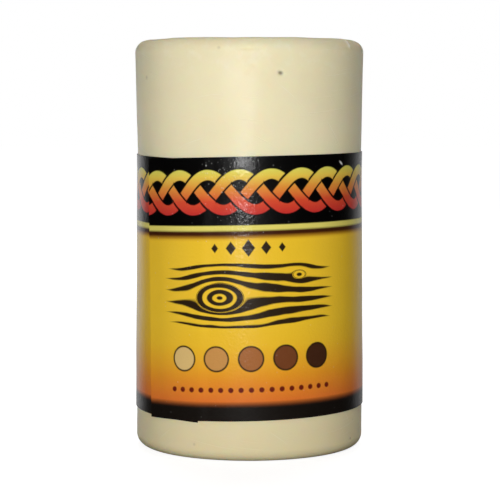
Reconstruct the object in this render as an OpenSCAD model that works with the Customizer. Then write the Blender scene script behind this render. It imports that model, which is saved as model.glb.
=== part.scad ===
// Furniture repair wax stick: a short cast cylinder of soft filler wax, with a printed label
// wrapped once round it and lapped over its own start.
// Millimetres. +Z is up, the front faces -Y, and the origin is the centre of the base.

/* [Wax] */
// Height of the stick
stick_h = 34; // [28:0.1:60]
// Radius of the straight foot
foot_r = 9.5; // [7:0.05:14]
// Height at which the side starts to draw in
foot_top = 7; // [3:0.1:9]
// How far the waist draws in from the foot
waist_in = 0.16; // [0.05:0.01:0.4]
// Height of the waist, the narrowest ring
waist_z = 23.5; // [14:0.1:26]
// How far the rim stands out past the foot
rim_out = 0.04; // [0:0.01:0.4]
// Rounding of the lower edge
foot_fillet = 1; // [0.4:0.1:2.2]
// Rounding of the upper edge
rim_fillet = 0.8; // [0.4:0.1:2.4]
// Width of the level land inside the upper edge
rim_land = 0.8; // [0.2:0.1:3]
// Depth of the shrinkage sink in the poured end
sink_depth = 0.25; // [0.05:0.05:1]

/* [Label] */
// Height of the label's lower edge, halfway along the strip
label_z = 3.65; // [3:0.05:6]
// Width of the strip, from the label's lower edge to its upper edge
label_h = 21.1; // [12:0.1:22]
// Length of the lap that covers the label's own start
label_lap = 5.6; // [2:0.1:14]
// Turn from the front to the middle of the label's inner end, positive to the right
label_start = -24.3; // [-180:0.1:180]
// Length over which the lap climbs onto the label's start
lap_climb = 1; // [0.7:0.1:3]

/* [Label layers] */
// Thickness of the adhesive
adhesive_t = 0.02; // [0.01:0.005:0.06]
// Thickness of the printed paper
paper_t = 0.05; // [0.03:0.005:0.15]
// Thickness of the clear film over the print
film_t = 0.02; // [0.01:0.005:0.06]

/* [Hidden] */
$fn = 128;

wax_colour = [0.94, 0.9, 0.77];
adhesive_colour = [0.86, 0.83, 0.72];
print_colour = [0.91, 0.72, 0.2];
film_colour = [1, 1, 1, 0.25];

// Angle between the points of a fillet
fillet_step = 10;
// Steps from the middle of the sink to its edge
sink_steps = 6;
// Largest angle of one flat facet of the label
facet = 4;
// Room between the round wax and the label's facets
bond_gap = 0.005;
// Rows of points up the label: its two edges, and the foot's top and the waist between them
rows = 4;
// Least share of the strip's width between two rows
row_share = 0.1;

waist_r = foot_r - waist_in;
rim_r = foot_r + rim_out;
rim_z = stick_h - rim_fillet;
sink_r = rim_r - rim_fillet - rim_land;

label_t = adhesive_t + paper_t + film_t;
label_r = wax_r(label_z + label_h / 2);
degrees_per_mm = 180 / (PI * label_r);
wrap = 360 + label_lap * degrees_per_mm;
climb = lap_climb * degrees_per_mm;
// A straight strip on a side that narrows upwards is level only halfway along. Its ends drop by
// the taper times the square of half its length, over the diameter.
taper = waist_in / (waist_z - foot_top);
end_drop = taper * pow(wrap / 2 / degrees_per_mm, 2) / (2 * label_r);
// Turns from the label's inner end to each of its columns of points
facets = ceil(wrap / facet);
step = wrap / facets;
turns = [for (i = [0 : facets]) i * step];
// The strip is as long at every height, so it reaches further round the waist than round the
// foot. The lap has climbed up whole at the last column before the inner end starts.
climb_end = step * floor(360 * waist_r / label_r / step);
// Turn that the widest triangle takes up: a facet at the waist, or the lean of one end
spread = max(step * label_r / waist_r, wrap / 2 * (label_r / waist_r - label_r / foot_r));
// Room between the lap and the start under it, whose facets don't line up
lap_gap = bond_gap + (foot_r + label_t) * (1 / cos(spread / 2) - 1);

// Radius of the wax at a height, along the three straight runs of its side
function wax_r(z) = lookup(z, [[foot_top, foot_r], [waist_z, waist_r], [rim_z, rim_r]]);

// Points of a rounded edge about a centre, from one angle to another
function fillet(centre, r, from, to) =
    [for (angle = [from : fillet_step : to]) centre + r * [cos(angle), sin(angle)]];

// Height of the label's lower edge at a turn
function lower_edge(turn) = label_z - end_drop * pow(2 * turn / wrap - 1, 2);

// Heights of a column of points over the lower edge, the inner rows kept between the edges
function column(low) = let(least = row_share * label_h) [
    low,
    min(max(foot_top, low + least), low + label_h - 2 * least),
    min(max(waist_z, low + 2 * least), low + label_h - least),
    low + label_h
];

// Share of the label's thickness by which it has climbed onto its own start at a turn
function climbed(turn) = min(max((turn - climb_end) / climb + 1, 0), 1);

// Turn of a column at a height: it lies square across the strip, so it leans on the tapered side
function leaned(turn, z) = wrap / 2 + (turn - wrap / 2) * label_r / wax_r(z);

// A point of the label, at a depth through the layers from the wax out. Its facets lie round
// the wax and not inside it, so their corners stand a little further out.
function label_point(turn, z, depth) = let(
    r = (wax_r(z) + bond_gap + depth + climbed(turn) * (label_t + lap_gap)) / cos(spread / 2),
    angle = label_start - leaned(turn, z) - 90
) [r * cos(angle), r * sin(angle), z];

module wax_stick() {
    sink = [for (i = [sink_steps : -1 : 0]) let(share = i / sink_steps)
        [sink_r * share, stick_h - sink_depth * (1 - share * share)]];
    color(wax_colour) rotate_extrude() polygon(concat(
        [[0, 0]],
        fillet([foot_r - foot_fillet, foot_fillet], foot_fillet, -90, 0),
        [[foot_r, foot_top], [waist_r, waist_z]],
        fillet([rim_r - rim_fillet, rim_z], rim_fillet, 0, 90),
        sink
    ));
}

// One layer of the label, from a depth out through a thickness
module label_layer(depth, thickness) {
    top = rows - 1;
    points = [
        for (turn = turns, d = [depth, depth + thickness], z = column(lower_edge(turn)))
            label_point(turn, z, d)
    ];
    function inner(i, row) = 2 * rows * i + row;
    function outer(i, row) = inner(i, row) + rows;
    // Two triangles over four corners, split along the shorter diagonal
    function quad(a, b, c, d) = norm(points[a] - points[c]) < norm(points[b] - points[d])
        ? [[a, b, c], [a, c, d]]
        : [[b, c, d], [b, d, a]];
    faces = [
        for (row = [0 : top - 1]) each concat(
            quad(inner(0, row), inner(0, row + 1), outer(0, row + 1), outer(0, row)),
            quad(outer(facets, row), outer(facets, row + 1), inner(facets, row + 1), inner(facets, row))
        ),
        for (i = [0 : facets - 1], row = [0 : top - 1]) each concat(
            quad(outer(i, row), outer(i, row + 1), outer(i + 1, row + 1), outer(i + 1, row)),
            quad(inner(i, row), inner(i + 1, row), inner(i + 1, row + 1), inner(i, row + 1))
        ),
        for (i = [0 : facets - 1]) each concat(
            quad(inner(i, 0), outer(i, 0), outer(i + 1, 0), inner(i + 1, 0)),
            quad(inner(i, top), inner(i + 1, top), outer(i + 1, top), outer(i, top))
        )
    ];
    polyhedron(points, faces);
}

module label_adhesive() {
    color(adhesive_colour) label_layer(0, adhesive_t);
}

module label_paper() {
    color(print_colour) label_layer(adhesive_t, paper_t);
}

module label_film() {
    color(film_colour) label_layer(adhesive_t + paper_t, film_t);
}

wax_stick();
label_adhesive();
label_paper();
label_film();
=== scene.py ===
"""Looks of the furniture repair wax stick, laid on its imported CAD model.

Sizes are in millimetres and turns in degrees until a mesh is made. +Z is up, the photograph looks
along +Y, and a turn runs from the front (-Y) towards the right (+X). The label is one straight
strip: u runs along it to the right and is 0 at the front, and v runs up from its lower edge.
"""

import bpy
import numpy as np
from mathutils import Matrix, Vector, noise


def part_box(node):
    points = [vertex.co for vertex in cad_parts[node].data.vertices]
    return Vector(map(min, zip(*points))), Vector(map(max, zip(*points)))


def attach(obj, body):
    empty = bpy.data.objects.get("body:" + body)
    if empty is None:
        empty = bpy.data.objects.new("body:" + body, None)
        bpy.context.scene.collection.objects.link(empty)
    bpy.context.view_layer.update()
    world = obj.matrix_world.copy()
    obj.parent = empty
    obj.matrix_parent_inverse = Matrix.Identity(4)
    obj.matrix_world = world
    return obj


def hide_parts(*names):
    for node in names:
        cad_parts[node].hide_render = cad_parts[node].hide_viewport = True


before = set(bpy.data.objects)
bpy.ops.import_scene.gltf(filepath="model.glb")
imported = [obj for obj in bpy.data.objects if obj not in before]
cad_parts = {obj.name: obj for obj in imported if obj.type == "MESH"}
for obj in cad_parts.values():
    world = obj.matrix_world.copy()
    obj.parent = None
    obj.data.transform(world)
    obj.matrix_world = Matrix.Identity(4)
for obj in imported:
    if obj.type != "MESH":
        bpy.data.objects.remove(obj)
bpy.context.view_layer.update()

MM = 0.001

# Camera, as found from the photograph's perspective
CAMERA_FROM_AXIS = 157.4
CAMERA_HEIGHT = 27.62
CAMERA_DOWN = 4.08
CAMERA_RIGHT = 0.018
FOCAL_PX = 1869.7
FRAME_PX = 500
SENSOR_WIDTH = 36

# Wax, as in the plain model
STICK_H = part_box("wax_stick")[1].z / MM
RIM_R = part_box("wax_stick")[1].x / MM
RIM_OUT = 0.04
FOOT_R = RIM_R - RIM_OUT
WAIST_IN = 0.16
WAIST_R = FOOT_R - WAIST_IN
FOOT_TOP = 7
WAIST_Z = 23.5
FOOT_FILLET = 1
PLAIN_RIM_FILLET = 0.8
FLARE_TOP = STICK_H - PLAIN_RIM_FILLET
# The cast rim is softer than the plain model's, and rubbed a little lower
RIM_FILLET = 1
RIM_RUBBED = 0.07
CROWN_Z = STICK_H - RIM_RUBBED
RIM_Z = CROWN_Z - RIM_FILLET
RIM_LAND = 0.6
SINK_DEPTH = 0.2
# How softly the sink runs out into the land round it
SINK_POWER = 1.5
# Length over which the side bends from one slope to the next
SIDE_BEND = 0.9
# Mesh of the wax: columns round it, step along its outline, and points along its rounded edges
WAX_COLUMNS = 480
WAX_STEP = 0.12
FOOT_POINTS = 12
RIM_POINTS = 14
# Size, height and seed of the cast surface's lumps
SIDE_LUMPS = ((7, 0.035, 3), (2.4, 0.008, 11))
SINK_LUMPS = ((2.6, 0.05, 29), (0.9, 0.012, 31))
# Shallow dents: turn and height of both ends, half width and depth. The first is a swelling,
# where the wax is squeezed under the label's upper edge, and the third is a broad hollow.
DENTS = (
    ((-13, 23.3), (5, 23.4), 1.6, -0.1),
    ((-1.4, 32.62), (5.6, 32.72), 0.5, 0.075),
    ((-4.6, 32.4), (-5.6, 28.6), 1.4, 0.11),
    ((-6.9, 32), (-6.6, 31.95), 0.17, 0.04),
    ((1.2, 31.8), (2.2, 31.7), 0.22, 0.045),
    ((-1.4, 31.2), (-1, 31.1), 0.15, 0.035),
    ((97, 32.6), (103, 32.4), 0.4, 0.05),
    ((-95, 30.2), (-92, 30), 0.25, 0.04),
    ((-150, 32.2), (-146, 32.4), 0.3, 0.05),
    ((160, 2.2), (165, 2.4), 0.4, 0.05),
)
# Pits and nicks, painted darker in and round them, and the burr on the rim, painted pale, in the
# same numbers
NICKS = (
    ((14.8, 31.08), (15.6, 31.06), 0.15, 0.17),
    ((-14.8, 33.08), (-14.6, 33.05), 0.12, 0.03),
    ((-62.2, 30.83), (-61.8, 30.8), 0.14, 0.04),
    ((61.3, 1.15), (61.8, 1.1), 0.1, 0.08),
    ((-28.1, 1.3), (-27.8, 1.3), 0.1, 0.03),
    ((118, 28.4), (121, 28.9), 0.12, 0.07),
    ((176, 31.8), (176.3, 31.9), 0.15, 0.1),
    ((-128, 26.9), (-119, 26.3), 0.07, 0.03),
    ((84, 1.6), (90, 1.9), 0.1, 0.05),
)
BURR = ((58.8, 33.74), (58.8, 33.26), 0.12, -0.1)

# Label
SHEET_T = 0.07
GLUE_T = 0.02
LABEL_H = 21.1
LABEL_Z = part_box("label_paper")[1].z / MM - LABEL_H
END_DROP = LABEL_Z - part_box("label_paper")[0].z / MM
LABEL_LAP = 5.35
LABEL_START = -24.3
LAP_CLIMB = 1
# The stiff free end stands off straight over its last stretch
FREE_END = 1.3
LABEL_COLUMNS = 520
LABEL_ROWS = 140
GLUE_INSET = 0.15
GLUE_COLUMNS = 150
GLUE_ROWS = 24
# Start and height of the rows of a strip in its bake map
OUTER_ROW = (0.01, 0.43)
INNER_ROW = (0.91, 0.05)
RIM_ROW = (0.975, 0.015)
# Distance between the outer face's two rows, in heights of one
OUTER_ROWS_APART = 1.05
# Room at the rows' ends
ROW_END = 0.012
# Angle from which an edge of a strip is sharp
SHARP_EDGE = 50

# Print, in heights over the strip's lower edge. An edge is soft over its blur.
PRINT_BLUR = 0.09
FOOTER_TOP = 1.3
FOOTER_BLUR = 0.58
FADE_TOP = 8
FADE_WAVE = 0.5
HALO_LOW = 14.69
HALO_BLUR = 0.6
HALO_SHARE = 0.85
DARK_LINE_LOW = 14.74
DARK_LINE_BLUR = 0.4
KEYLINE_LOW = 15.22
KEYLINE_BLUR = 0.18
KEYLINE_TOP = 15.65
PLAIT_V = 18.3
PLAIT_REACH = 1.4
PLAIT_PITCH = 7.6
STRAND_W = 0.8
STRAND_GAP = 0.17
# Panels of print repeat round the strip, with a column of lozenges halfway between them
PANEL_PITCH = 29.5
GRAIN_V = 10.1
GRAIN_HALF_W = 7.2
GRAIN_HALF_H = 2.8
GRAIN_PITCH = 0.8
# How squarely the patch of grain ends, at its ends and along its edges
GRAIN_END_POWER = 4
GRAIN_EDGE_POWER = 6
# Height of the waves in the grain
GRAIN_WAVE = 0.9
# Half width of the grain's lines, in pitches: the least, and what clouds add to it
GRAIN_LINE = 0.12
GRAIN_LINE_SPREAD = 0.4
# Place across and up in the grain, and radius, of each knot
KNOTS = ((-2.4, -0.2, 1.15), (4.1, 1.5, 0.34))
KNOT_STRETCH = 0.6
KNOT_RINGS = 1.6
# Keeps the flow round a knot finite at its middle
KNOT_CORE = 0.01
TONES_V = 5
TONE_PITCH = 2.8
TONE_R = 0.92
TONE_RIM = 0.13
DOTS_V = 2.5
DOT_PITCH = 0.82
DOT_R = 0.21
DOTS_HALF_W = 8.5 * DOT_PITCH
# Place to either side of a panel's middle, height and half width of its lozenges
LOZENGES = (
    (0, 13.85, 0.52), (1.4, 13.85, 0.4), (2.7, 13.85, 0.28),
    (14.75, 11.8, 0.5), (14.75, 9.9, 0.75), (14.75, 8, 0.5),
)
LOZENGE_RISE = 0.75
# Size and detail of the clouds that wave the fade, and that wave and widen the lines of the grain
FADE_CLOUDS = (1.5, 3)
GRAIN_CLOUDS = (5, 1)
GRAIN_LINE_CLOUDS = (2, 1)
# A pale fleck on the header: its place, radius, stretch along the strip and lean
FLECK_U = 8.6
FLECK_V = 20.35
FLECK_R = 0.1
FLECK_STRETCH = 0.5
FLECK_LEAN = 0.6


def side_r(z):
    """Radius of the wax's side at a height: three straight runs with soft bends between them."""
    draw_in = (FOOT_R - WAIST_R) / (WAIST_Z - FOOT_TOP)
    flare = (RIM_R - WAIST_R) / (FLARE_TOP - WAIST_Z)

    def bend(start):
        return SIDE_BEND * np.log1p(np.exp((z - start) / SIDE_BEND))

    return FOOT_R - draw_in * bend(FOOT_TOP) + (draw_in + flare) * bend(WAIST_Z)


def rim_r(z):
    """Radius of the rounded rim at a height."""
    return float(side_r(RIM_Z)) - RIM_FILLET + np.sqrt(RIM_FILLET**2 - (z - RIM_Z) ** 2)


LABEL_R = float(side_r(LABEL_Z + LABEL_H / 2))
STRIP = 2 * np.pi * LABEL_R + LABEL_LAP
MIDDLE_TURN = LABEL_START - np.degrees(STRIP / 2 / LABEL_R)
# Distance from the strip's middle to the stick's front, towards the strip's outer end
FRONT_AT = np.radians(MIDDLE_TURN + 360) * LABEL_R


def srgb(red, green, blue):
    """A colour of 0 to 255, as a picture shows it, in the linear form that shaders take."""
    share = np.array([red, green, blue]) / 255
    linear = np.where(share < 0.04045, share / 12.92, ((share + 0.055) / 1.055) ** 2.4)
    return (*linear.tolist(), 1.0)


# Colours of the wax
WAX_PALE = srgb(244, 235, 198)
WAX_DEEP = srgb(238, 226, 187)
# Painted shade: the wax's colour towards the foot, darker and warmer for less light and warm bounce
# low down
WAX_FOOT_PAINTED_SHADE = srgb(230, 216, 174)
# Pale scuffed wax, also used for painted sheen near the rim and a painted glint on the burr
WAX_SCUFF_SHEEN = srgb(250, 246, 226)
WAX_DARK_SPOT = srgb(92, 82, 52)
# Glow under the wax's skin: its share, reach in mm and how far each colour goes
GLOW_SHARE = 0.35
GLOW_REACH = 1.1
GLOW_TINT = (1, 0.5, 0.2)
# Gloss of the wax, its least roughness and what rougher patches add
WAX_GLOSS = 0.42
WAX_ROUGHNESS = 0.23
WAX_PATCH = 0.2
# Size and detail of the clouds of tone, of rougher patches and of the pale bloom and painted sheen
TONE_CLOUDS = (5, 4)
PATCH_CLOUDS = (1.1, 3)
BLOOM_SHEEN_CLOUDS = (0.7, 4)
# Pale haze towards the rubbed rim, part bloom and part painted sheen that whitens the wax's
# highlight: its greatest share, the height where it starts, and the rise over which it grows to
# that share
BLOOM_SHEEN_SHARE = 0.4
BLOOM_SHEEN_FROM = 30.05
BLOOM_SHEEN_RISE = 3
BLOOM_SHEEN_CONTRAST = 3
# Two kinds of fine scratch: tilt of their planes, width, length, and the least noise that shows
SCUFFS = (((14, 6, 0), 0.09, 7, 0.69), ((-52, 20, 0), 0.07, 5, 0.71))
SCUFF_CONTRAST = 16
SCUFF_SHARE = 0.25
# Pinholes: distance apart, radius, and the share of places that have one
HOLES = (1.7, 0.05, 0.16)
HOLE_SHARE = 0.5
# Depth of a pinhole, and of a scratch as a share of it
HOLE_DEPTH = 0.02
SCUFF_DEPTH = 0.4
# Reach of the darkening round a nick in its half widths, and how fast it darkens with the nick's
# depth
DARK_SPOT_REACH = 1.6
DARK_SPOT_PER_MM = 4
# Reach and number of the pale spots along the burr: scuffed wax and a painted glint
BURR_SCUFF_GLINT_REACH = 0.2
BURR_SCUFF_GLINT_POINTS = 5
# Size, detail and depth of the ripples in the wax's skin, in the film's face and in the glue
SKIN_RIPPLES = ((0.4, 3, 0.008), (2.4, 2, 0.03))
FILM_RIPPLES = ((2.5, 2, 0.03),)
GLUE_RIPPLES = ((0.3, 2, 0.004),)
# Size and depth of the film's orange peel, which the pale specks share
PEEL_SIZE = 0.24
PEEL_DEPTH = 0.022
# Distance apart and radius of two kinds of pale speck: air trapped under the film, and painted
# glints, the least share of places that have one, and how far one pales the print
AIR_GLINT_SPECKS = ((0.24, 0.05), (0.41, 0.065))
BUBBLES_LEAST = 0.01
AIR_GLINT_PALE = 0.25
# Place along and up, and radius, of the patches with most of the specks, painted glints where the
# highlight falls on the header
GLINT_SPECK_PATCHES = ((-1.6, 20.1, 2.6), (-0.9, 16.3, 1.3))
# Width of the step between a cell that shows its speck and one that doesn't
SPECK_STEP = 0.02

# Roughness of the label's paper and of its film, and its colours
PAPER_ROUGHNESS = 0.5
FILM_ROUGHNESS = 0.2
PAPER_WHITE = srgb(222, 224, 218)
BLACK = srgb(4, 3, 3)
FOOTER = srgb(24, 19, 15)
KEYLINE = srgb(232, 219, 108)
DARK_LINE = srgb(66, 28, 4)
LINE_HALO = srgb(196, 110, 12)
BROWN = srgb(44, 30, 12)
DARK_RED = srgb(112, 24, 6)
# Shares of the height from the lower edge to FADE_TOP
FADE = (
    (0.19, srgb(231, 119, 40)),
    (0.35, srgb(236, 141, 35)),
    (0.44, srgb(238, 155, 31)),
    (0.55, srgb(241, 171, 34)),
    (0.76, srgb(244, 193, 38)),
    (1, srgb(246, 200, 42)),
)
# Shares of the plait's height
FIRE = (
    (0, srgb(204, 44, 40)),
    (0.3, srgb(222, 78, 44)),
    (0.6, srgb(232, 150, 56)),
    (0.85, srgb(236, 206, 78)),
    (1, srgb(228, 222, 96)),
)
TONES = (
    srgb(226, 190, 120),
    srgb(206, 148, 78),
    srgb(170, 104, 50),
    srgb(120, 66, 32),
    srgb(70, 38, 20),
)
GLUE_DEEP = srgb(214, 206, 178)
GLUE_PALE = srgb(232, 227, 206)
GLUE_CLOUDS = (0.8, 3)
GLUE_ROUGHNESS = 0.3

# Stage
FLOOR_SIZE = 3000
FLOOR_DROP = 0.02
FLOOR_GREY = 0.3
FLOOR_ROUGHNESS = 0.9
# The floor's own white under the stick, and the distance at which it is full
FLOOR_WHITE = 0.86
FLOOR_FULL = 120
# The white backdrop that gloss shows behind the stick: shares of the way from the far left to the
# far right with its strength there, then the slopes at which it ends below, above and to the sides
BACKDROP = ((0.1, 0), (0.2, 0.7), (0.3, 0.72), (0.5, 0.6), (0.62, 0.45), (0.82, 0.38), (0.92, 0))
BACKDROP_LOW = -0.17
BACKDROP_LOW_BLUR = 0.18
BACKDROP_TOP = 0.05
BACKDROP_TOP_BLUR = 0.16
BACKDROP_SIDE_BLUR = 0.1
ROOM_LIGHT = 0.03
# Name, turn, angle up, distance, width and height, strength, and whether it shows in gloss
LAMPS = (
    ("key", -4.5, 7, 160, (40, 40), 0.635, False),
    ("flash", -5.6, 6, 150, (32, 6), 0.12, True),
    ("side_left", -75, 10, 300, (150, 150), 0.07, False),
    ("side_right", 75, 10, 300, (150, 150), 0.055, False),
    ("rear_left", -152, 14, 300, (120, 120), 0.26, False),
    ("rear_right", 150, 14, 300, (120, 120), 0.36, False),
    ("top", 180, 62, 300, (150, 150), 0.5, False),
)


def place(turn, radius, z):
    """Points in mm at turns, radii and heights."""
    angle = np.radians(turn)
    return np.stack(np.broadcast_arrays(radius * np.sin(angle), -radius * np.cos(angle), z), -1)


def lumps(points, kinds):
    """Smooth random heights at points in mm, summed over kinds of lump."""
    total = np.zeros(points.shape[:-1])
    for size, height, seed in kinds:
        flat = points.reshape(-1, 3) / size + seed
        total += height * np.array([noise.noise(p) for p in flat.tolist()]).reshape(total.shape)
    return total


def marks_depth(turn, z):
    """Depth of the dents and nicks at turns and heights of the side."""
    depth = np.zeros(np.broadcast(turn, z).shape)
    for start, end, half_width, deepest in (*DENTS, *NICKS, BURR):
        across = np.radians((turn - start[0] + 180) % 360 - 180) * FOOT_R
        run = np.radians(end[0] - start[0]) * FOOT_R
        rise = end[1] - start[1]
        along = np.clip((across * run + (z - start[1]) * rise) / (run**2 + rise**2), 0, 1)
        apart = np.hypot(across - along * run, z - start[1] - along * rise)
        depth += deepest * np.exp(-((apart / half_width) ** 2))
    return depth


def make_piece(name, points, faces, material, sharp=None):
    """A smooth mesh object from points in mm, with edges sharper than an angle kept sharp."""
    mesh = bpy.data.meshes.new(name)
    mesh.from_pydata((points.reshape(-1, 3) * MM).tolist(), [], faces)
    mesh.shade_smooth()
    if sharp:
        mesh.set_sharp_from_angle(angle=np.radians(sharp))
    mesh.materials.append(material)
    piece = bpy.data.objects.new(name, mesh)
    bpy.context.scene.collection.objects.link(piece)
    return piece


def grid_quads(rows, columns, closed=False, first=0, flip=False):
    """Faces of a grid of points kept row by row. A closed grid's last column meets its first."""
    index = first + np.arange(rows * columns).reshape(rows, columns)
    right = np.roll(index, -1, 1)
    corners = [index[:-1], right[:-1], right[1:], index[1:]]
    if not closed:
        corners = [corner[:, :-1] for corner in corners]
    if flip:
        corners.reverse()
    return np.stack(corners, -1).reshape(-1, 4).tolist()


def arc(centre, radius, start, end, count):
    """Points of a rounded edge, in radius and height."""
    angle = np.radians(np.linspace(start, end, count))
    return np.stack([centre[0] + radius * np.cos(angle), centre[1] + radius * np.sin(angle)], 1)


def wax_outline():
    """Outline of the wax in radius and height, from near the middle of its base to its sink."""
    base_r = np.arange(WAX_STEP, FOOT_R - FOOT_FILLET, WAX_STEP * 2)
    base = np.stack([base_r, np.zeros_like(base_r)], 1)
    side_z = np.arange(FOOT_FILLET + WAX_STEP, RIM_Z, WAX_STEP)
    side = np.stack([side_r(side_z), side_z], 1)
    land_r = float(side_r(RIM_Z)) - RIM_FILLET
    sink_r = land_r - RIM_LAND
    top_r = np.arange(land_r - WAX_STEP, WAX_STEP, -WAX_STEP)
    depth = SINK_DEPTH * (1 - np.clip(top_r / sink_r, 0, 1) ** 2) ** SINK_POWER
    top = np.stack([top_r, CROWN_Z - depth], 1)
    foot = arc((FOOT_R - FOOT_FILLET, FOOT_FILLET), FOOT_FILLET, -90, 0, FOOT_POINTS)
    rim = arc((land_r, RIM_Z), RIM_FILLET, 0, 90, RIM_POINTS)
    return np.concatenate([base, foot, side, rim, top])


def make_wax(material):
    """The cast stick: the outline turned round, with lumps, pits and nicks along its normals."""
    outline = wax_outline()
    radius, z = outline[:, :1], outline[:, 1:]
    turn = np.linspace(0, 360, WAX_COLUMNS, endpoint=False)[None]
    slope = np.gradient(outline, axis=0)
    normal = np.stack([slope[:, 1], -slope[:, 0]], 1) / np.hypot(*slope.T)[:, None]
    points = place(turn, radius, z)
    on_side = np.clip(normal[:, :1], 0, 1) ** 2
    on_top = np.clip(normal[:, 1:], 0, 1) ** 2
    shift = lumps(points, SIDE_LUMPS) * on_side + lumps(points, SINK_LUMPS) * on_top
    shift -= marks_depth(turn, z) * (radius > LABEL_R / 2)
    points = place(turn, radius + shift * normal[:, :1], np.maximum(z + shift * normal[:, 1:], 0))
    rows = len(outline)
    faces = grid_quads(rows, WAX_COLUMNS, closed=True)
    faces.append(list(range(WAX_COLUMNS))[::-1])
    faces.append(list(range((rows - 1) * WAX_COLUMNS, rows * WAX_COLUMNS)))
    return make_piece("wax", points, faces, material)


def strip_point(s, v, depth):
    """Points of the label's strip, at distances s from its middle towards its outer end."""
    z = LABEL_Z - END_DROP * (2 * s / STRIP) ** 2 + v
    wax_r = side_r(z)
    turn = MIDDLE_TURN - np.degrees(s / wax_r)
    covered = 2 * np.pi * wax_r - STRIP / 2
    share = np.clip((s - covered) / LAP_CLIMB + 1, 0, 1)
    climb = (SHEET_T + GLUE_T) * share * share * (3 - 2 * share)
    lift = np.clip(s - STRIP / 2 + FREE_END, 0, None) ** 2 / (2 * wax_r)
    surface = wax_r + lumps(place(turn, wax_r, z), SIDE_LUMPS) - marks_depth(turn, z)
    return place(turn, surface + climb + lift + depth, z)


def strip_solid(name, columns, rows, inset, low, high, material):
    """A layer of the strip as a closed solid between two depths. One UV map has its u and v in mm,
    and the other its places in a baked texture."""
    s = np.linspace(STRIP / 2 - inset, -STRIP / 2 + inset, columns)[None]
    v = np.linspace(inset, LABEL_H - inset, rows)[:, None]
    points = np.stack([strip_point(s, v, low), strip_point(s, v, high)])
    count = rows * columns
    faces = grid_quads(rows, columns, flip=True) + grid_quads(rows, columns, first=count)
    index = np.arange(count).reshape(rows, columns)
    rim = np.concatenate([index[0, :-1], index[:-1, -1], index[-1, :0:-1], index[:0:-1, 0]])
    after = np.roll(rim, -1)
    faces += np.stack([rim, after, after + count, rim + count], 1).tolist()
    piece = make_piece(name, points, faces, material, SHARP_EDGE)
    corners = piece_corners(piece) % count
    u, v = np.broadcast_arrays(FRONT_AT - s, v)
    add_map(piece, "print", np.stack([u.ravel(), v.ravel()], 1)[corners])
    add_map(piece, "OFBake", bake_places(columns, rows, corners))
    return piece


def bake_places(columns, rows, corners):
    """Places in a square texture for the face corners of a strip: the outer face in two tall rows,
    and the inner face and the rim in low rows above them."""
    up, along = np.mgrid[0 : 1 : rows * 1j, 0 : 1 : columns * 1j]
    x, y = along.ravel()[corners], up.ravel()[corners]
    face = 4 * (rows - 1) * (columns - 1)
    inner, outer, rim = np.split(np.arange(len(corners)), [face, 2 * face])
    second_row = outer // 4 % (columns - 1) >= columns // 2
    x[outer] = x[outer] * 2 - second_row
    y[outer] += second_row * OUTER_ROWS_APART
    edges = len(rim) // 4
    x[rim] = ((rim - rim[0]) // 4 + np.tile([0, 1, 1, 0], edges)) / edges
    y[rim] = np.tile([0, 0, 1, 1], edges)
    for part, (start, height) in ((inner, INNER_ROW), (outer, OUTER_ROW), (rim, RIM_ROW)):
        y[part] = start + height * y[part]
    return np.stack([x * (1 - 2 * ROW_END) + ROW_END, y], 1)


def add_map(piece, name, at):
    """Adds a UV map from the place of each face corner."""
    piece.data.uv_layers.new(name=name).uv.foreach_set("vector", at.astype(np.float32).ravel())


def piece_corners(piece):
    """Vertex of each face corner of a piece."""
    corners = np.zeros(len(piece.data.loops), np.int32)
    piece.data.loops.foreach_get("vertex_index", corners)
    return corners


def make_camera():
    """The photograph's camera."""
    data = bpy.data.cameras.new("camera")
    data.sensor_width = SENSOR_WIDTH
    data.lens = FOCAL_PX / FRAME_PX * SENSOR_WIDTH
    data.clip_start = MM
    camera = bpy.data.objects.new("camera", data)
    camera.location = (0, -CAMERA_FROM_AXIS * MM, CAMERA_HEIGHT * MM)
    camera.rotation_euler = np.radians((90 - CAMERA_DOWN, 0, -CAMERA_RIGHT))
    bpy.context.scene.collection.objects.link(camera)
    bpy.context.scene.camera = camera


class Field:
    """A number at each point of a surface. Arithmetic on fields adds Math nodes to their tree."""

    def __init__(self, socket):
        self.socket = socket

    def math(self, operation, *others, clamp=False):
        node = add_node(self.socket.id_data, "Math", operation=operation, use_clamp=clamp)
        for slot, value in zip(node.inputs, (self, *others)):
            feed(slot, value)
        return Field(node.outputs[0])

    def __add__(self, other):
        return self.math("ADD", other)

    def __sub__(self, other):
        return self.math("SUBTRACT", other)

    def __rsub__(self, other):
        return -self + other

    def __neg__(self):
        return self * -1

    def __mul__(self, other):
        return self.math("MULTIPLY", other)

    def __truediv__(self, other):
        return self.math("DIVIDE", other)

    def size(self):
        """The number without its sign."""
        return self.math("ABSOLUTE")

    def clamp(self):
        """The number kept between 0 and 1."""
        return self.math("ADD", 0, clamp=True)

    def repeat(self, every):
        """Distance from the nearest of the marks that repeat along a length, with its sign."""
        return self - (self / every).math("ROUND") * every

    def inside(self, blur):
        """1 where a distance to an edge is below zero and 0 where it is above, with a soft edge."""
        return (self / -blur + 0.5).clamp()

    def above(self, low, blur):
        """1 where the number is above another and 0 where it is below, with a soft edge."""
        return (low - self).inside(blur)


def add_node(tree, kind, **settings):
    node = tree.nodes.new("ShaderNode" + kind)
    for name, value in settings.items():
        setattr(node, name, value)
    return node


def feed(slot, value):
    """Links a field or an output to a socket, or sets the socket to a number or colour."""
    if isinstance(value, Field):
        value = value.socket
    if isinstance(value, bpy.types.NodeSocket):
        slot.id_data.links.new(value, slot)
    else:
        slot.default_value = value


def distance(x, y):
    return (x * x + y * y).math("SQRT")


def mix(share, low, high):
    """A colour that goes from low to high as a share goes from 0 to 1."""
    node = add_node(share.socket.id_data, "Mix", data_type="RGBA")
    feed(node.inputs["Factor"], share)
    feed(node.inputs[6], low)
    feed(node.inputs[7], high)
    return node.outputs[2]


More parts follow.
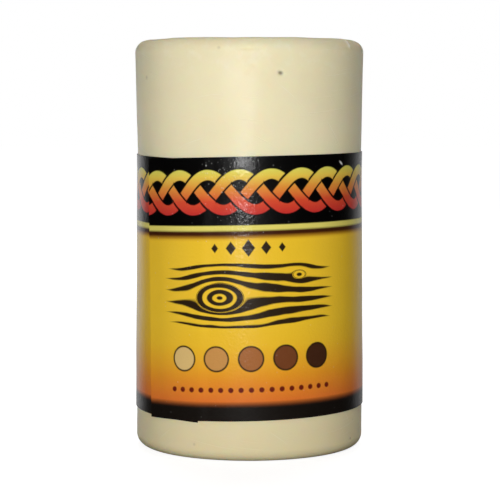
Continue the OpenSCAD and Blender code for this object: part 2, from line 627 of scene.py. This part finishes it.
def ramp(share, stops):
    """A colour that follows stops of a place and a colour."""
    node = add_node(share.socket.id_data, "ValToRGB")
    elements = node.color_ramp.elements
    while len(elements) < len(stops):
        elements.new(0.5)
    for element, (place_on, colour) in zip(elements, stops):
        element.position = place_on
        element.color = colour
    feed(node.inputs["Fac"], share)
    return node.outputs["Color"]


def clouds(where, size, detail=2):
    """Noise of 0 to 1 at a vector, in lumps of a size in the vector's own unit."""
    node = add_node(where.id_data, "TexNoise")
    feed(node.inputs["Vector"], where)
    feed(node.inputs["Scale"], 1 / size)
    feed(node.inputs["Detail"], detail)
    return Field(node.outputs[0])


def bump(height, depth, normal=None):
    """A normal bent by a height of 0 to 1 that stands for a depth in mm."""
    node = add_node(height.socket.id_data, "Bump")
    feed(node.inputs["Height"], height)
    feed(node.inputs["Distance"], depth * MM)
    if normal:
        feed(node.inputs["Normal"], normal)
    return node.outputs["Normal"]


def ripple(where, ripples, normal=None):
    """A normal bent by clouds, each of a size, a detail and a depth in mm."""
    for size, detail, depth in ripples:
        normal = bump(clouds(where, size, detail), depth, normal)
    return normal


def new_material(name, **inputs):
    """A material with a Principled shader, and that shader with its plain inputs set."""
    material = bpy.data.materials.new(name)
    material.use_nodes = True
    shader = material.node_tree.nodes["Principled BSDF"]
    for slot, value in inputs.items():
        shader.inputs[slot.replace("_", " ")].default_value = value
    return material, shader


def axes_of(vector):
    """The components of a vector output, as fields."""
    node = add_node(vector.id_data, "SeparateXYZ")
    feed(node.inputs[0], vector)
    return [Field(output) for output in node.outputs]


def in_mm(tree):
    """The place on the object, in mm."""
    node = add_node(tree, "VectorMath", operation="SCALE")
    feed(node.inputs[0], add_node(tree, "TexCoord").outputs["Object"])
    feed(node.inputs["Scale"], 1 / MM)
    return node.outputs[0]


def scratches(where, tilt, width, length, least):
    """1 along sparse fine scratches, where noise drawn out along a tilted plane passes a least."""
    node = add_node(where.id_data, "Mapping", vector_type="TEXTURE")
    feed(node.inputs["Vector"], where)
    feed(node.inputs["Rotation"], [float(angle) for angle in np.radians(tilt)])
    feed(node.inputs["Scale"], (length, length, width))
    return ((clouds(node.outputs[0], 1, 1) - least) * SCUFF_CONTRAST).clamp()


def specks(where, apart, radius, share):
    """1 in small specks: each cell of a size has one, and only a share of them show."""
    node = add_node(where.id_data, "TexVoronoi")
    feed(node.inputs["Vector"], where)
    feed(node.inputs["Scale"], 1 / apart)
    chosen = (axes_of(node.outputs["Color"])[0] - share).inside(SPECK_STEP)
    return (Field(node.outputs["Distance"]) * apart - radius).inside(radius) * chosen


def near(where, point, radius):
    """1 at a point and 0 past a radius from it."""
    node = add_node(where.id_data, "VectorMath", operation="DISTANCE")
    feed(node.inputs[0], where)
    feed(node.inputs[1], point.tolist())
    return (Field(node.outputs["Value"]) - radius / 2).inside(radius)


def paint_marks(colour, where):
    """Darker paint in and round the pits and nicks, more for deeper ones, and pale spots on the
    burr on the rim, scuffed wax with a painted glint.
    """
    for start, end, half_width, depth in NICKS:
        for turn, height in (start, end):
            point = place(turn, side_r(height) - depth, height)
            # Darker in and round each nick, the more the deeper it is
            dark_spot = near(where, point, half_width * DARK_SPOT_REACH) * min(depth * DARK_SPOT_PER_MM, 1)
            colour = mix(dark_spot, colour, WAX_DARK_SPOT)
    # Pale spots along the burr: scuffed wax and a painted glint off it
    (turn, top), (_, low), _, depth = BURR
    for height in np.linspace(top, low, BURR_SCUFF_GLINT_POINTS):
        point = place(turn, rim_r(height) - depth, height)
        colour = mix(near(where, point, BURR_SCUFF_GLINT_REACH), colour, WAX_SCUFF_SHEEN)
    return colour


def wax_material():
    """Cast wax: glow under the skin, cloudy tone, painted shade towards the foot, a pale haze near
    the rim that is part blooming and part painted sheen, fine scuffs, pinholes and its marks.
    """
    material, shader = new_material(
        "wax", Specular_IOR_Level=WAX_GLOSS, Subsurface_Weight=GLOW_SHARE,
        Subsurface_Scale=GLOW_REACH * MM, Subsurface_Radius=GLOW_TINT,
    )
    where = in_mm(material.node_tree)
    z = axes_of(where)[2]
    scuffs = scratches(where, *SCUFFS[0]) + scratches(where, *SCUFFS[1])
    holes = specks(where, *HOLES)
    near_rim = ((z - BLOOM_SHEEN_FROM) / BLOOM_SHEEN_RISE).clamp()
    bloom_and_sheen = ((clouds(where, *BLOOM_SHEEN_CLOUDS) - 0.5) * BLOOM_SHEEN_CONTRAST).clamp() * near_rim
    colour = mix(clouds(where, *TONE_CLOUDS), WAX_DEEP, WAX_PALE)
    # Painted shade: darker and warmer towards the foot
    colour = mix((1 - z / WAIST_Z).clamp(), colour, WAX_FOOT_PAINTED_SHADE)
    # Painted sheen near the rim, mixed with pale bloom
    colour = mix(bloom_and_sheen * BLOOM_SHEEN_SHARE, colour, WAX_SCUFF_SHEEN)
    colour = mix(scuffs * SCUFF_SHARE, colour, WAX_SCUFF_SHEEN)
    # Pinholes are painted darker
    colour = mix(holes * HOLE_SHARE, colour, WAX_DARK_SPOT)
    feed(shader.inputs["Base Color"], paint_marks(colour, where))
    patches = clouds(where, *PATCH_CLOUDS)
    feed(shader.inputs["Roughness"], patches * WAX_PATCH + WAX_ROUGHNESS)
    skin = ripple(where, SKIN_RIPPLES)
    feed(shader.inputs["Normal"], bump(scuffs * -SCUFF_DEPTH - holes, HOLE_DEPTH, skin))
    return material


def strand(u, v, turn):
    """Distance to the middle of one strand of the plait, and 1 where it passes over the others."""
    angle = u * (2 * np.pi / PLAIT_PITCH) + turn
    slope = angle.math("COSINE") * (2 * np.pi / PLAIT_PITCH * PLAIT_REACH)
    off = (v - PLAIT_V - angle.math("SINE") * PLAIT_REACH).size()
    over = (angle * 2).math("SINE").above(0, PRINT_BLUR)
    return off / (slope * slope + 1).math("SQRT"), over


def paint_header(colour, u, v):
    """The black header with its plait, which runs from yellow down to red. Every strand is drawn
    whole first, and then again where it passes over the others."""
    colour = mix(v.above(KEYLINE_TOP, PRINT_BLUR), colour, BLACK)
    share = (v - PLAIT_V + PLAIT_REACH + STRAND_W / 2) / (2 * PLAIT_REACH + STRAND_W)
    fire = ramp(share, FIRE)
    strands = [strand(u, v, turn) for turn in (0, 2 * np.pi / 3, 4 * np.pi / 3)]
    for off, over in [(off, 1) for off, _ in strands] + strands:
        body = (off - STRAND_W / 2).inside(PRINT_BLUR)
        gap = (off - STRAND_W / 2 - STRAND_GAP).inside(PRINT_BLUR) - body
        colour = mix(gap * over, colour, BLACK)
        colour = mix(body * over, colour, fire)
    return colour


def paint_grain(colour, where, u, v):
    """A patch of wood grain that flows round its knots, with rings inside them."""
    y = v - GRAIN_V
    flow = y + clouds(where, *GRAIN_CLOUDS) * GRAIN_WAVE
    for across, up, radius in KNOTS:
        beside = (u - across) * KNOT_STRETCH
        rise = y - up
        apart = distance(beside, rise)
        ring = (apart - radius).inside(PRINT_BLUR)
        around = rise * radius**2 / (apart * apart + KNOT_CORE)
        flow = flow - around * (1 - ring)
        flow = flow + (apart * KNOT_RINGS - flow) * ring
    end = (u / GRAIN_HALF_W).math("POWER", GRAIN_END_POWER)
    edge = (y / GRAIN_HALF_H).math("POWER", GRAIN_EDGE_POWER)
    width = clouds(where, *GRAIN_LINE_CLOUDS) * GRAIN_LINE_SPREAD + GRAIN_LINE
    line = flow.repeat(GRAIN_PITCH).size() - (1 - end - edge) * width * GRAIN_PITCH
    return mix(line.inside(PRINT_BLUR), colour, BROWN)


def paint_panel(colour, where, u, v):
    """One panel: lozenges, wood grain, a row of wood tones and a dotted rule."""
    colour = paint_grain(colour, where, u, v)
    for across, height, half_width in LOZENGES:
        edge = (u.size() - across).size() + (v - height).size() * LOZENGE_RISE - half_width
        colour = mix(edge.inside(PRINT_BLUR), colour, BROWN)
    for number, tone in enumerate(TONES):
        across = (number - (len(TONES) - 1) / 2) * TONE_PITCH
        spot = distance(u - across, v - TONES_V) - TONE_R
        colour = mix((spot - TONE_RIM).inside(PRINT_BLUR), colour, BROWN)
        colour = mix(spot.inside(PRINT_BLUR), colour, tone)
    dots = distance(u.repeat(DOT_PITCH), v - DOTS_V) - DOT_R
    ends = (u.size() - DOTS_HALF_W).inside(PRINT_BLUR)
    return mix(dots.inside(PRINT_BLUR) * ends, colour, DARK_RED)


def print_colour(where, u, v):
    """The whole print: golden field with its panels, footer, lines and header, and a pale fleck."""
    wave = (clouds(where, *FADE_CLOUDS) - 0.5) * FADE_WAVE
    colour = ramp((v + wave) / FADE_TOP, FADE)
    colour = paint_panel(colour, where, u.repeat(PANEL_PITCH), v)
    field = v.above(FOOTER_TOP, FOOTER_BLUR)
    colour = mix(field * field, FOOTER, colour)
    colour = mix(v.above(HALO_LOW, HALO_BLUR) * HALO_SHARE, colour, LINE_HALO)
    colour = mix(v.above(DARK_LINE_LOW, DARK_LINE_BLUR), colour, DARK_LINE)
    colour = mix(v.above(KEYLINE_LOW, KEYLINE_BLUR), colour, KEYLINE)
    colour = paint_header(colour, u, v)
    along = u - FLECK_U
    fleck = distance(along * FLECK_STRETCH, v - FLECK_V + along * FLECK_LEAN) - FLECK_R
    return mix(fleck.inside(PRINT_BLUR), colour, PAPER_WHITE)


def air_and_glint_specks(where, u, v):
    """1 in pale pinhead specks: trapped air under the film, and painted glints in patches of the
    header where the highlight falls.
    """
    share = BUBBLES_LEAST
    for across, up, radius in GLINT_SPECK_PATCHES:
        share = (1 - distance(u - across, v - up) / radius).clamp() + share
    small, large = (specks(where, *kind, share) for kind in AIR_GLINT_SPECKS)
    return small + large


def label_material():
    """Printed stock under a clear film, whose gloss is rippled and raised over trapped air. Pale
    specks pale the print: trapped air, and painted glints where the highlight falls on the header.
    """
    material, shader = new_material(
        "label_print", Roughness=PAPER_ROUGHNESS, Coat_Weight=1, Coat_Roughness=FILM_ROUGHNESS
    )
    where = add_node(material.node_tree, "UVMap", uv_map="print").outputs[0]
    u, v, _ = axes_of(where)
    air_and_glints = air_and_glint_specks(where, u, v)
    # Pale specks: trapped air, and painted glints in patches where the highlight falls
    colour = mix(air_and_glints * AIR_GLINT_PALE, print_colour(where, u, v), PAPER_WHITE)
    feed(shader.inputs["Base Color"], colour)
    peel = bump(clouds(where, PEEL_SIZE) + air_and_glints, PEEL_DEPTH)
    film = ripple(where, FILM_RIPPLES, peel)
    feed(shader.inputs["Normal"], film)
    feed(shader.inputs["Coat Normal"], film)
    return material


def glue_material():
    """Tacky glue, clouded by trapped air."""
    material, shader = new_material("label_glue", Roughness=GLUE_ROUGHNESS)
    where = in_mm(material.node_tree)
    colour = mix(clouds(where, *GLUE_CLOUDS), GLUE_DEEP, GLUE_PALE)
    feed(shader.inputs["Base Color"], colour)
    feed(shader.inputs["Normal"], ripple(where, GLUE_RIPPLES))
    return material


def floor_material():
    """A floor that shows as the white backdrop, less a little where the stick shades it."""
    grey = (FLOOR_GREY, FLOOR_GREY, FLOOR_GREY, 1)
    material, shader = new_material("floor", Base_Color=grey, Roughness=FLOOR_ROUGHNESS)
    tree = material.node_tree
    x, y, _ = axes_of(in_mm(tree))
    white = add_node(tree, "Emission")
    camera = Field(add_node(tree, "LightPath").outputs["Is Camera Ray"])
    far = (distance(x, y) / FLOOR_FULL).clamp()
    feed(white.inputs["Strength"], camera * (far * (1 - FLOOR_WHITE) + FLOOR_WHITE))
    both = add_node(tree, "AddShader")
    feed(both.inputs[0], shader.outputs[0])
    feed(both.inputs[1], white.outputs[0])
    feed(tree.nodes["Material Output"].inputs["Surface"], both.outputs[0])
    return material


def make_floor():
    bpy.ops.mesh.primitive_plane_add(size=FLOOR_SIZE * MM, location=(0, 0, -FLOOR_DROP * MM))
    floor = bpy.context.object
    floor.name = "floor"
    floor.data.materials.append(floor_material())
    floor.visible_glossy = False


def make_world():
    """White to the camera, a white backdrop behind the stick to gloss, and a dim room otherwise."""
    world = bpy.data.worlds.new("world")
    bpy.context.scene.world = world
    world.use_nodes = True
    tree = world.node_tree
    rays = add_node(tree, "LightPath")
    camera = Field(rays.outputs["Is Camera Ray"])
    gloss = Field(rays.outputs["Is Glossy Ray"]) + Field(rays.outputs["Is Transmission Ray"])
    x, y, z = axes_of(add_node(tree, "TexCoord").outputs["Generated"])
    across = x / distance(x, y) * 0.5 + 0.5
    stops = [(share, (white, white, white, 1)) for share, white in BACKDROP]
    backdrop = Field(ramp(across, stops))
    backdrop *= z.above(BACKDROP_LOW, BACKDROP_LOW_BLUR)
    backdrop *= (z - BACKDROP_TOP).inside(BACKDROP_TOP_BLUR)
    backdrop *= y.above(0, BACKDROP_SIDE_BLUR)
    strength = camera + gloss * backdrop + (1 - camera - gloss) * ROOM_LIGHT
    feed(tree.nodes["Background"].inputs["Color"], (1, 1, 1, 1))
    feed(tree.nodes["Background"].inputs["Strength"], strength)


def make_lamp(name, turn, up, distance_off, size, strength, gloss):
    """A lamp that faces the stick. A strength of 1 shows a facing colour as written."""
    data = bpy.data.lights.new(name, "AREA")
    data.shape = "RECTANGLE"
    data.size, data.size_y = size[0] * MM, size[1] * MM
    data.energy = strength * (np.pi * distance_off * MM) ** 2
    lamp = bpy.data.objects.new(name, data)
    lamp.visible_camera = False
    lamp.visible_glossy = gloss
    angle, height = np.radians(turn), np.radians(up)
    away = Vector((np.sin(angle) * np.cos(height), -np.cos(angle) * np.cos(height), np.sin(height)))
    lamp.location = Vector((0, 0, STICK_H / 2 * MM)) + away * distance_off * MM
    lamp.rotation_euler = away.to_track_quat("Z", "Y").to_euler()
    bpy.context.scene.collection.objects.link(lamp)


def make_pieces():
    """The wax, the printed sheet and the glue under it, in place of the CAD nodes."""
    wax = make_wax(wax_material())
    sheet = strip_solid(
        "label_sheet", LABEL_COLUMNS, LABEL_ROWS, 0, GLUE_T, GLUE_T + SHEET_T, label_material()
    )
    glue = strip_solid(
        "label_glue", GLUE_COLUMNS, GLUE_ROWS, GLUE_INSET, 0, GLUE_T, glue_material()
    )
    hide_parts("wax_stick")
    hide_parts("label_paper", "label_film")
    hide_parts("label_adhesive")
    for piece, slot in ((wax, "wax"), (sheet, "label_print"), (glue, "adhesive")):
        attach(piece, "root")


def main():
    make_camera()
    make_pieces()
    make_floor()
    make_world()
    for lamp in LAMPS:
        make_lamp(*lamp)
    bpy.context.scene.view_settings.view_transform = "Standard"


main()
